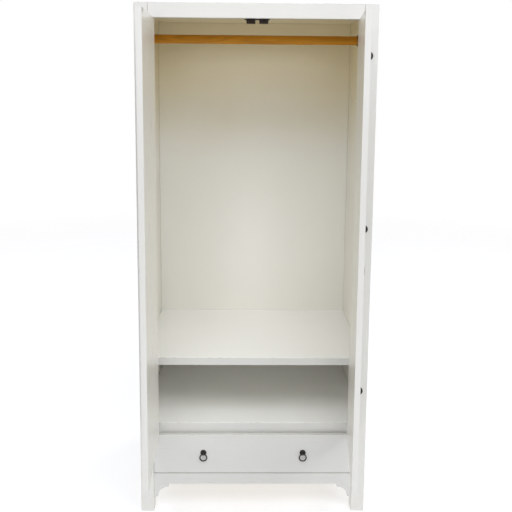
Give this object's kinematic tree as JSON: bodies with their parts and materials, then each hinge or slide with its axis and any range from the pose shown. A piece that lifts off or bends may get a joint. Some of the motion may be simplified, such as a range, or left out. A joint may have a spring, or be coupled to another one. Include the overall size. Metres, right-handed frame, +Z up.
{
  "type": "wardrobe",
  "caption": "Tall lacquered wardrobe on square legs, with doors on round-leaf hinges, a hanging rod, shelves, a drawer with ring pulls and a shaped apron.",
  "frame": {"origin": "on the floor, under the middle of the box that the wardrobe fills with its doors standing open as at rest; the middle of the carcass is on X = 0 and its front face is at Y = -0.1217", "axes": "+Z up, +X to the right of someone facing the wardrobe, +Y from the front to the back"},
  "size_m": [0.85, 0.9966, 1.9],
  "materials": {
    "ivory_lacquer": "satin ivory-white lacquer, brushed, with softened edges",
    "drawer_wood": "plain sanded pale softwood, unpainted",
    "rod_wood": "oiled orange-brown wood, satin",
    "dark_metal": "blackened metal, satin with rubbed edges",
    "catch_plastic": "dark brown moulded plastic",
    "plated_steel": "zinc plated steel"
  },
  "bodies": {
    "carcass": {"apron": "ivory_lacquer", "back_panel": "ivory_lacquer", "front_left_post": "ivory_lacquer", "front_right_post": "ivory_lacquer", "hanging_rod": "rod_wood", "left_drawer_runner": "drawer_wood", "left_lower_hinge_post_leaf": "dark_metal", "left_middle_hinge_post_leaf": "dark_metal", "left_rod_socket": "dark_metal", "left_side_panel": "ivory_lacquer", "left_upper_hinge_post_leaf": "dark_metal", "lower_board": "ivory_lacquer", "lower_left_rail": "ivory_lacquer", "lower_right_rail": "ivory_lacquer", "magnetic_catch": "catch_plastic", "main_shelf": "ivory_lacquer", "rear_left_post": "ivory_lacquer", "rear_right_post": "ivory_lacquer", "right_drawer_runner": "drawer_wood", "right_lower_hinge_post_leaf": "dark_metal", "right_middle_hinge_post_leaf": "dark_metal", "right_rod_socket": "dark_metal", "right_side_panel": "ivory_lacquer", "right_upper_hinge_post_leaf": "dark_metal", "top_front_rail": "ivory_lacquer", "top_left_rail": "ivory_lacquer", "top_panel": "ivory_lacquer", "top_rear_rail": "ivory_lacquer", "top_right_rail": "ivory_lacquer"},
    "left_door": {"left_door_bottom_rail": "ivory_lacquer", "left_door_hinge_stile": "ivory_lacquer", "left_door_lock_stile": "ivory_lacquer", "left_door_panel": "ivory_lacquer", "left_door_pull_dish": "dark_metal", "left_door_top_rail": "ivory_lacquer", "left_lower_hinge_door_leaf": "dark_metal", "left_middle_hinge_door_leaf": "dark_metal", "left_strike_plate": "plated_steel", "left_upper_hinge_door_leaf": "dark_metal"},
    "right_door": {"right_door_bottom_rail": "ivory_lacquer", "right_door_hinge_stile": "ivory_lacquer", "right_door_lock_stile": "ivory_lacquer", "right_door_panel": "ivory_lacquer", "right_door_pull_dish": "dark_metal", "right_door_top_rail": "ivory_lacquer", "right_lower_hinge_door_leaf": "dark_metal", "right_middle_hinge_door_leaf": "dark_metal", "right_strike_plate": "plated_steel", "right_upper_hinge_door_leaf": "dark_metal"},
    "left_door_ring": {"left_door_pull_ring": "dark_metal"},
    "right_door_ring": {"right_door_pull_ring": "dark_metal"},
    "drawer": {"drawer_back": "drawer_wood", "drawer_bottom": "drawer_wood", "drawer_front": "ivory_lacquer", "drawer_left_pull_rose": "dark_metal", "drawer_left_side": "drawer_wood", "drawer_right_pull_rose": "dark_metal", "drawer_right_side": "drawer_wood"},
    "drawer_left_ring": {"drawer_left_pull_ring": "dark_metal"},
    "drawer_right_ring": {"drawer_right_pull_ring": "dark_metal"}
  },
  "joints": [
    {"name": "left_door_hinge", "type": "hinge", "parent": "carcass", "child": "left_door", "pos_m": [-0.37525, -0.12467, 1.0795], "axis": [0, 0, -1], "range_deg": [-88, 86]},
    {"name": "right_door_hinge", "type": "hinge", "parent": "carcass", "child": "right_door", "pos_m": [0.37525, -0.12467, 1.0795], "axis": [0, 0, 1], "range_deg": [-84, 90]},
    {"name": "drawer_slide", "type": "slide", "parent": "carcass", "child": "drawer", "axis": [0, -1, 0], "range_m": [0, 0.36]},
    {"name": "drawer_left_ring_swing", "type": "hinge", "parent": "drawer", "child": "drawer_left_ring", "pos_m": [-0.188, -0.12827, 0.2348], "axis": [-1, 0, 0], "range_deg": [-7, 100]},
    {"name": "drawer_right_ring_swing", "type": "hinge", "parent": "drawer", "child": "drawer_right_ring", "pos_m": [0.188, -0.12827, 0.2348], "axis": [-1, 0, 0], "range_deg": [-7, 100]},
    {"name": "left_door_ring_swing", "type": "hinge", "parent": "left_door", "child": "left_door_ring", "pos_m": [-0.35557, -0.47319, 1.0618], "axis": [-0.0349, 0.9994, 0], "range_deg": [-3, 62]},
    {"name": "right_door_ring_swing", "type": "hinge", "parent": "right_door", "child": "right_door_ring", "pos_m": [0.33131, -0.47097, 1.0618], "axis": [-0.1045, -0.9945, 0], "range_deg": [-3, 62]}
  ]
}
